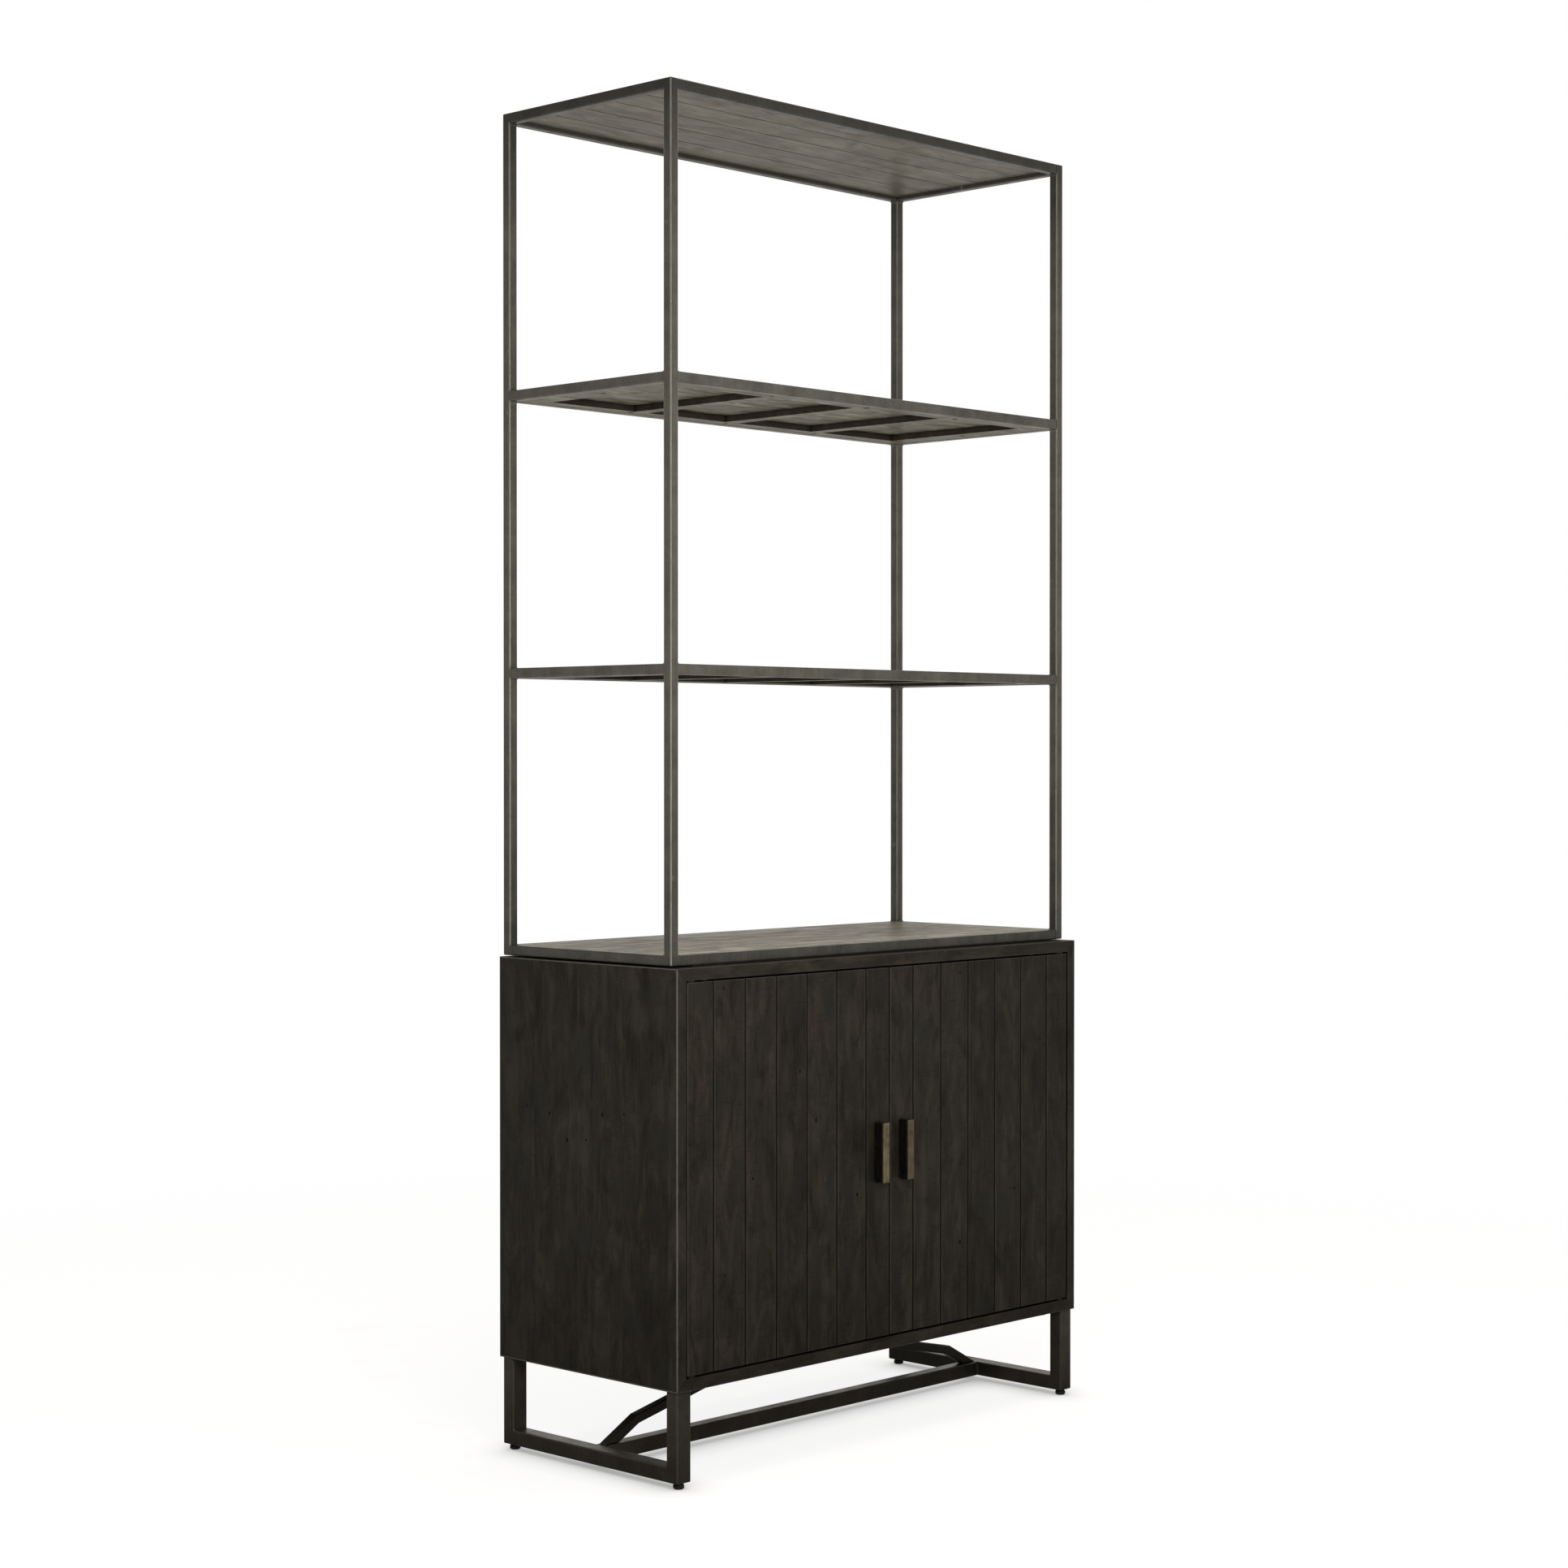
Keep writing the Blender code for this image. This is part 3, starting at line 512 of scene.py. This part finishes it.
# Painted shade: the foot and the top of the open frame are darkened over these reaches, to these levels.
FOOT_SHADE_REACH = 0.50
FOOT_PAINTED_SHADE = (0.62, 1.06)
HEAD_SHADE_REACH = 0.20
HEAD_PAINTED_SHADE = (1.0, 0.42)
# How far the painted shade reaches into crevices between tubes.
TUBE_PAINTED_SHADE_REACH = 0.004


def coated_tube(name, low, high, edge_wear_and_highlight, turned_arris=0.985, upright=False, ends=False):
    """A sprayed coat on square tube, between the tones low and high, and at the arrises paler towards the
    third tone, where it is rubbed and a painted highlight is added.

    turned_arris is the cosine of the turn from a flat face at which the wear and the painted highlight begin.
    upright keeps them to the upright arrises, and the last switch paints shade that darkens the foot and the
    top of the open frame.
    """
    finish, shader = start_finish(name)
    place = add(finish, "ShaderNodeTexCoord").outputs["Object"]
    drawn = add(finish, "ShaderNodeMapping", {"Vector": place, "Scale": (1.0, 1.0, 0.04)}).outputs[0]
    cloud = noise(finish, place, 22.0, 5.0, 0.65)
    fleck = noise(finish, place, 420.0, 2.0)
    brush = noise(finish, drawn, 260.0, 3.0)
    scuffs = noise(finish, place, 34.0, 6.0, 0.7)
    mixed = sum_of(finish, times(finish, cloud, 0.75), times(finish, fleck, 0.20))
    mixed = sum_of(finish, mixed, times(finish, brush, 0.25))
    colour = blended(finish, spread(finish, mixed, 0.46, 0.74), low, high)
    # Painted shade darkening the foot and the top of the open frame.
    if ends:
        foot, head = (corner.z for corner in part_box("left_end_frame"))
        up = add(finish, "ShaderNodeSeparateXYZ", {0: place}).outputs[2]
        foot_shade = spread(finish, up, foot, foot + FOOT_SHADE_REACH, *FOOT_PAINTED_SHADE)
        head_shade = spread(finish, up, head - HEAD_SHADE_REACH, head, *HEAD_PAINTED_SHADE)
        colour = dimmed(finish, colour, times(finish, foot_shade, head_shade))

    # Paler arrises: rubbed wear and scuffs, together with a painted highlight.
    facing = add(finish, "ShaderNodeNewGeometry").outputs["Normal"]
    size = add(finish, "ShaderNodeVectorMath", {0: facing}, operation="ABSOLUTE").outputs[0]
    parts = add(finish, "ShaderNodeSeparateXYZ", {0: size}).outputs
    most = sum_of(finish, sum_of(finish, parts[0], parts[1], "MAXIMUM"), parts[2], "MAXIMUM")
    arris = spread(finish, most, turned_arris, turned_arris - 0.10)
    if upright:
        arris = times(finish, arris, spread(finish, parts[2], 0.05, 0.30, 1.0, 0.0))
    arris = times(finish, arris, spread(finish, scuffs, 0.30, 0.60, 0.55, 1.0))
    wear_and_highlight = sum_of(finish, arris, spread(finish, scuffs, 0.64, 0.76, 0.0, 0.5), "MAXIMUM")
    colour = blended(finish, wear_and_highlight, colour, edge_wear_and_highlight)
    # Painted shade darkening the crevices where tubes meet.
    painted_shade = spread(finish, painted_shade_occlusion(finish, TUBE_PAINTED_SHADE_REACH), 0.20, 0.55, 0.8, 0.0)
    colour = blended(finish, painted_shade, colour, toned(low, 0.15))
    coat(finish, shader, colour, spread(finish, mixed, 0.46, 0.74, 0.46, 0.34))
    shader.inputs["Metallic"].default_value = 0.5
    shader.inputs["Specular IOR Level"].default_value = 0.5
    relief(finish, shader, sum_of(finish, fleck, times(finish, cloud, 1.5)), 0.30, 0.0003)
    return finish


# No part of a tube is turned this far from all its flats, so no arris wear or painted arris highlight is
# drawn at this cosine.
NOT_TURNED = 0.5
ARCH_TURN = 0.80
base_coat = coated_tube("base_coat", *BASE_TONES)
floor_rail_coat = coated_tube("floor_rail_coat", *BASE_TONES, turned_arris=NOT_TURNED)
arch_coat = coated_tube("arch_coat", *ARCH_TONES_PAINTED_DARKER, turned_arris=ARCH_TURN)
for name in ("left_leg_frame", "right_leg_frame"):
    ease(dress(name, base_coat))
ease(dress("floor_rail", floor_rail_coat))
ease(dress("arch_brace", arch_coat))


# Weld beads: a small hollow fillet of weld metal in each inner corner where two tubes meet, coated with them.
# Where a rail meets a post end to face, the joint is filled with weld and ground flush.
LEG_WELD = 0.0045
FRAME_WELD = 0.0040
WELD_STEPS = 5
WELD_SUNK = 0.25
WELD_SHARE = 0.8
SEAM_LONG = 0.0032
SEAM_SUNK = 0.00003
SEAM_ROUND = 0.002
SEAM_INTO_POST = 0.35


def weld(shape, corner, out, up, across, size, length):
    """Adds one fillet. The two faces leave the corner along out and up, and the bead runs along across."""
    corner, out, up, across = (Vector(v) for v in (corner, out, up, across))
    sunk = size * WELD_SUNK
    profile = [corner - (out + up) * sunk, corner + out * size - up * sunk]
    for step in range(WELD_STEPS + 1):
        angle = math.pi / 2 * step / WELD_STEPS
        hollow = out * (1 - math.sin(angle)) + up * (1 - math.cos(angle))
        profile.append(corner + hollow * size)
    profile.append(corner + up * size - out * sunk)
    ends = []
    for sign in (-0.5, 0.5):
        ends.append([shape.verts.new(spot + across * length * sign) for spot in profile])
    first, second = ends
    for index in range(len(profile)):
        after = (index + 1) % len(profile)
        shape.faces.new((first[index], first[after], second[after], second[index]))
    shape.faces.new(first[::-1])
    shape.faces.new(second)


def runs_along_x(edge):
    """Whether an edge of a seam is one of its four long ones, which lie along the rail."""
    start, end = (vert.co for vert in edge.verts)
    return abs(start.x - end.x) > SEAM_LONG / 2


def ground_seam(shape, joint, size):
    """The weld that fills a butt joint and the hollow beside it, ground back flush with both tubes."""
    made = bmesh.ops.create_cube(shape, size=1.0)["verts"]
    across = size - 2 * SEAM_SUNK
    bmesh.ops.scale(shape, vec=(SEAM_LONG, across, across), verts=made)
    bmesh.ops.translate(shape, vec=joint, verts=made)
    long_edges = [edge for edge in {e for vert in made for e in vert.link_edges} if runs_along_x(edge)]
    bmesh.ops.bevel(shape, geom=long_edges, offset=SEAM_ROUND, segments=2, affect="EDGES", profile=0.5)


def add_welds(name, shape, finish):
    bmesh.ops.recalc_face_normals(shape, faces=shape.faces)
    add_piece(name, shape, finish, "cabinet")


rail_low, rail_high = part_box("floor_rail")
leg_tube = rail_high.z - rail_low.z
rail_y = (rail_low.y + rail_high.y) / 2
rail_z = (rail_low.z + rail_high.z) / 2
beads = bmesh.new()
for side, way in (("left", -1), ("right", 1)):
    low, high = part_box(side + "_leg_frame")
    outer = low.x if way < 0 else high.x
    inner = way * rail_high.x
    wide = abs(outer - inner)
    for edge, inward in ((low.y, 1), (high.y, -1)):
        corner = ((outer + inner) / 2, edge + inward * leg_tube, rail_high.z)
        weld(beads, corner, (0, inward, 0), (0, 0, 1), (1, 0, 0), LEG_WELD, wide * WELD_SHARE)
    for inward in (1, -1):
        spot = (inner, rail_y + inward * leg_tube / 2, rail_z)
        weld(beads, spot, (-way, 0, 0), (0, inward, 0), (0, 0, 1), LEG_WELD, leg_tube * WELD_SHARE)
    ground_seam(beads, (inner + way * SEAM_INTO_POST * SEAM_LONG, rail_y, rail_z), leg_tube)
add_welds("base_welds", beads, floor_rail_coat)


# The open frame: two welded end frames of thinner square tube, with a front and a back rail at each shelf.
# It has the same warm grey coat, painted paler up here as painted light, and it shows its brushed steel
# underneath. A painted highlight runs down its upright arrises, and painted shade darkens its foot and top.
# The same coat painted paler as painted light, with a painted highlight in its third tone.
FRAME_TONES_PAINTED_PALER = ((0.082, 0.079, 0.068), (0.140, 0.136, 0.118), (0.35, 0.345, 0.31))
frame_coat = coated_tube("frame_coat", *FRAME_TONES_PAINTED_PALER, upright=True, ends=True)
rail_coat = coated_tube("rail_coat", *FRAME_TONES_PAINTED_PALER, turned_arris=NOT_TURNED, ends=True)
LEVELS = ("base", "lower_shelf", "upper_shelf", "top")
for side in ("left", "right"):
    ease(dress(side + "_end_frame", frame_coat))
for level in LEVELS:
    for end in ("front", "back"):
        ease(dress(f"{level}_{end}_rail", rail_coat))

beads = bmesh.new()
frame_low, frame_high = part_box("left_end_frame")
tube = frame_high.x - frame_low.x
inner_x = -frame_high.x
bead = (FRAME_WELD, tube * WELD_SHARE)
for level in LEVELS:
    for end, inward in (("front", 1), ("back", -1)):
        low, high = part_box(f"{level}_{end}_rail")
        middle = (low.y + high.y) / 2
        for way in (-1, 1):
            post = way * (inner_x + tube / 2)
            face = middle + inward * tube / 2
            for arris, up, none_at in ((high.z, 1, "top"), (low.z, -1, "base")):
                if level != none_at:
                    weld(beads, (way * inner_x, middle, arris), (-way, 0, 0), (0, 0, up), (0, 1, 0), *bead)
                    weld(beads, (post, face, arris), (0, inward, 0), (0, 0, up), (1, 0, 0), *bead)
            joint = (way * (inner_x + SEAM_INTO_POST * SEAM_LONG), middle, (low.z + high.z) / 2)
            ground_seam(beads, joint, tube)
add_welds("frame_welds", beads, rail_coat)


# The shelf boards: five planks let into the rails at each level, in a weathered grey-brown stain.
# Saw marks, old streaks and worn paler patches show on both faces.
SHELF_TONES = (
    (0.050, 0.041, 0.028), (0.150, 0.134, 0.098), (0.270, 0.248, 0.190), (0.130, 0.124, 0.098),
)
BASE_LEVEL_TONES = (
    (0.120, 0.102, 0.072), (0.215, 0.190, 0.142), (0.300, 0.272, 0.210), (0.190, 0.178, 0.142),
)
TOP_TONES = (
    (0.040, 0.033, 0.023), (0.085, 0.074, 0.052), (0.132, 0.118, 0.086), (0.076, 0.071, 0.053),
)
BOARD_LOOKS = {
    "base": {"tones": BASE_LEVEL_TONES, "gloss": 0.15, "figured": 2.0},
    "lower_shelf": {"tones": SHELF_TONES, "gloss": 0.15, "figured": 2.0},
    "upper_shelf": {"tones": SHELF_TONES, "gloss": 0.15, "figured": 2.0},
    "top": {"tones": TOP_TONES, "gloss": 0.45, "figured": 1.4},
}
BOARD_SHINE = 0.42
SHELF_PLANKS = 5

for level in LEVELS:
    low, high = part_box(level + "_boards")
    planks = timber(
        level + "_planks", 0, 1, board=(high.y - low.y) / SHELF_PLANKS, start=low.y, low=low, high=high,
        tone=0.08, shine=BOARD_SHINE, ink=0.45, **BOARD_LOOKS[level],
    )
    dress(level + "_boards", planks)


# The battens: thin slats screwed up under the two middle shelves as a border with three cross slats.
# Their undersides are stained like the boards, and their upright faces are coloured near black.
ONE_BOARD = 0.5
UPRIGHT_FACE_BLACK = (0.009, 0.007, 0.005)


def slat_finish():
    """The boards' stain on the flat faces, and a near black on the upright faces."""
    low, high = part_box("lower_shelf_battens")
    finish = timber(
        "slat_wood", 0, 1, SHELF_TONES, ONE_BOARD, -ONE_BOARD / 2, low, high,
        tone=0.0, shine=BOARD_SHINE, ink=0.0,
    )
    shader = finish.node_tree.nodes["Principled BSDF"]
    stain = shader.inputs["Base Color"].links[0].from_socket
    facing = add(finish, "ShaderNodeNewGeometry").outputs["Normal"]
    upright = add(finish, "ShaderNodeSeparateXYZ", {0: facing}).outputs[2]
    flat = add(finish, "ShaderNodeMath", {0: upright}, operation="ABSOLUTE").outputs[0]
    edge = spread(finish, flat, 0.3, 0.7, 0.85, 0.0)
    finish.node_tree.links.new(blended(finish, edge, stain, UPRIGHT_FACE_BLACK), shader.inputs["Base Color"])
    return finish


slat_wood = slat_finish()
for level in ("lower_shelf", "upper_shelf"):
    dress(level + "_battens", slat_wood)


# Hardware inside and under: blackened pivot pins in black nylon bushes, zinc plated bolts and shelf pegs.
# The feet and the catch cases are moulded in black plastic, and the open frame stands on two rubber strips.
ZINC_TONES = ((0.30, 0.30, 0.29), (0.55, 0.55, 0.53))
BLACK_TONES = ((0.006, 0.006, 0.006), (0.016, 0.016, 0.016))


def zinc():
    finish, shader = start_finish("zinc_plate")
    place = add(finish, "ShaderNodeTexCoord").outputs["Object"]
    cloud = noise(finish, place, 260.0, 4.0)
    coat(finish, shader, blended(finish, cloud, *ZINC_TONES), spread(finish, cloud, 0.3, 0.7, 0.25, 0.45))
    shader.inputs["Metallic"].default_value = 1.0
    return finish


def moulded_black(name, roughness, grain):
    finish, shader = start_finish(name)
    place = add(finish, "ShaderNodeTexCoord").outputs["Object"]
    grains = noise(finish, place, grain, 3.0)
    rough = spread(finish, grains, 0.3, 0.7, roughness - 0.08, roughness + 0.08)
    coat(finish, shader, blended(finish, grains, *BLACK_TONES), rough)
    relief(finish, shader, grains, 0.3, 0.0002)
    return finish


zinc_plate = zinc()
foot_black = moulded_black("foot_black", 0.5, 600.0)
strip_rubber = moulded_black("strip_rubber", 0.75, 900.0)
for side in ("left", "right"):
    dress(side + "_magnetic_catch", foot_black)
    for place in ("lower", "upper"):
        dress(f"{side}_{place}_bush", foot_black)
        dress(f"{side}_{place}_pivot_pin", handle_steel)
    for end in ("front", "back"):
        dress(f"{side}_{end}_levelling_foot", foot_black)
        for kind in ("shelf_peg", "leg_bolt", "frame_bolt"):
            dress(f"{side}_{end}_{kind}", zinc_plate)
for end in ("front", "back"):
    dress(end + "_pad_strip", strip_rubber)


# Batten screws: a blackened countersunk wood screw in the border beside the end of each cross slat.
# One more holds the middle of each end of the border. Their heads lie in dark wells in the undersides.
SCREW_RADIUS = 0.0052
SCREW_PROUD = 0.0002
CROSS_SLATS = (-0.231, 0.0, 0.231)
SCREW_FROM_SIDE = 0.015
SCREW_FROM_END = 0.025

for level in ("lower_shelf", "upper_shelf"):
    low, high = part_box(level + "_battens")
    spots = []
    for x in CROSS_SLATS:
        spots += [(x, low.y + SCREW_FROM_SIDE, low.z), (x, high.y - SCREW_FROM_SIDE, low.z)]
    for x in (low.x + SCREW_FROM_END, high.x - SCREW_FROM_END):
        spots.append((x, (low.y + high.y) / 2, low.z))
    marks(level + "_screws", spots, (0, 0, -1), SCREW_RADIUS, SCREW_PROUD, "cabinet")


# The room: white paper underfoot that runs out into a white surround, and soft boxes round the bookcase.
# A second sheet just under the paper, unseen itself, throws light up as a lit floor does a step away.
FLOOR_SIZE = 60.0
SURROUND_RADIUS = 45.0
BOUNCE_DEPTH = 0.001
LAMP_WARMTH = (1.0, 0.965, 0.895)
# How far the painted contact shadow on the paper reaches, and how dark it gets.
CONTACT_SHADOW_REACH = 0.07
CONTACT_SHADOW_DARKEST = 0.42
BRIGHT_WAY = (0.72, 0.69, -0.35)
SKY_GLOW = {"From Min": -0.1, "From Max": 0.7, "To Min": 0.13, "To Max": 0.95}


def paper(name, grey, near, far, near_glow, far_glow, glow_colour=(1.0, 1.0, 1.0), contact_shadow_reach=0.0):
    """White paper. Its own glow changes from near_glow to far_glow between two distances from the bookcase.

    The last argument is how far from the feet and the tubes above it the paper dims, a painted contact
    shadow.
    """
    finish, shader = start_finish(name)
    place = add(finish, "ShaderNodeTexCoord").outputs["Object"]
    away = add(finish, "ShaderNodeVectorMath", {0: place}, operation="LENGTH").outputs["Value"]
    fade = spread(finish, away, near, far)
    colour = blended(finish, fade, (grey, grey, grey), (0, 0, 0))
    finish.node_tree.links.new(colour, shader.inputs["Base Color"])
    glow = spread(finish, fade, 0.0, 1.0, near_glow, far_glow)
    # Painted contact shadow: the paper's glow dims where the feet and tubes close it in.
    if contact_shadow_reach:
        lit = spread(finish, painted_shade_occlusion(finish, contact_shadow_reach, samples=16), 0.15, 1.0, CONTACT_SHADOW_DARKEST, 1.0)
        glow = times(finish, glow, lit)
    finish.node_tree.links.new(glow, shader.inputs["Emission Strength"])
    shader.inputs["Emission Color"].default_value = (*glow_colour, 1.0)
    shader.inputs["Roughness"].default_value = 1.0
    shader.inputs["Specular IOR Level"].default_value = 0.0
    return finish


def unseen(piece, camera=True, light=True):
    """Hides a stage piece from the eye, or keeps it from lighting the bookcase."""
    piece.visible_camera = camera
    piece.visible_diffuse = piece.visible_glossy = piece.visible_transmission = light
    piece.visible_shadow = False


bpy.ops.mesh.primitive_plane_add(size=FLOOR_SIZE, location=(0, 0, 0))
floor = bpy.context.object
floor.name = "studio_floor"
floor.data.materials.append(paper("floor_paper", 0.20, 1.0, 3.5, 0.86, 1.0, contact_shadow_reach=CONTACT_SHADOW_REACH))
unseen(floor, light=False)
bpy.ops.mesh.primitive_plane_add(size=FLOOR_SIZE, location=(0, 0, -BOUNCE_DEPTH))
bounce = bpy.context.object
bounce.name = "studio_bounce"
bounce.data.materials.append(paper("bounce_paper", 0.0, 0.6, 1.6, 0.12, 0.70, LAMP_WARMTH))
unseen(bounce, camera=False)
bpy.ops.mesh.primitive_uv_sphere_add(radius=SURROUND_RADIUS, segments=48, ring_count=24)
surround = bpy.context.object
surround.name = "studio_surround"
surround.data.materials.append(paper("surround_white", 0.0, 1.0, 2.0, 1.0, 1.0))
unseen(surround, light=False)


def soft_box(name, place, target, size, power):
    lamp = bpy.data.objects.new(name, bpy.data.lights.new(name, "AREA"))
    lamp.data.shape = "RECTANGLE"
    lamp.data.size = lamp.data.size_y = size
    lamp.data.energy = power
    lamp.data.color = LAMP_WARMTH
    lamp.location = place
    lamp.rotation_euler = (Vector(target) - Vector(place)).to_track_quat("-Z", "Y").to_euler()
    lamp.visible_camera = False
    bpy.context.scene.collection.objects.link(lamp)


soft_box("soft_box_above", (0.2, -0.3, 4.4), (0.0, 0.0, 0.8), 2.4, 110.0)
soft_box("soft_box_by_the_eye", (-1.6, -1.9, 1.5), (-0.2, 0.0, 1.1), 1.2, 42.0)
soft_box("soft_box_front_right", (2.4, -3.2, 2.0), (0.0, 0.0, 1.0), 1.6, 3.0)

room = bpy.data.worlds.new("studio_room")
room.use_nodes = True
sky = room.node_tree
backdrop = sky.nodes["Background"]
backdrop.inputs["Color"].default_value = (*LAMP_WARMTH, 1.0)
toward = sky.nodes.new("ShaderNodeTexCoord")
behind = sky.nodes.new("ShaderNodeVectorMath")
behind.operation = "DOT_PRODUCT"
behind.inputs[1].default_value = BRIGHT_WAY
glow = sky.nodes.new("ShaderNodeMapRange")
for key, value in SKY_GLOW.items():
    glow.inputs[key].default_value = value
sky.links.new(toward.outputs["Generated"], behind.inputs[0])
sky.links.new(behind.outputs["Value"], glow.inputs["Value"])
sky.links.new(glow.outputs["Result"], backdrop.inputs["Strength"])
bpy.context.scene.world = room
bpy.context.scene.view_settings.view_transform = "Standard"
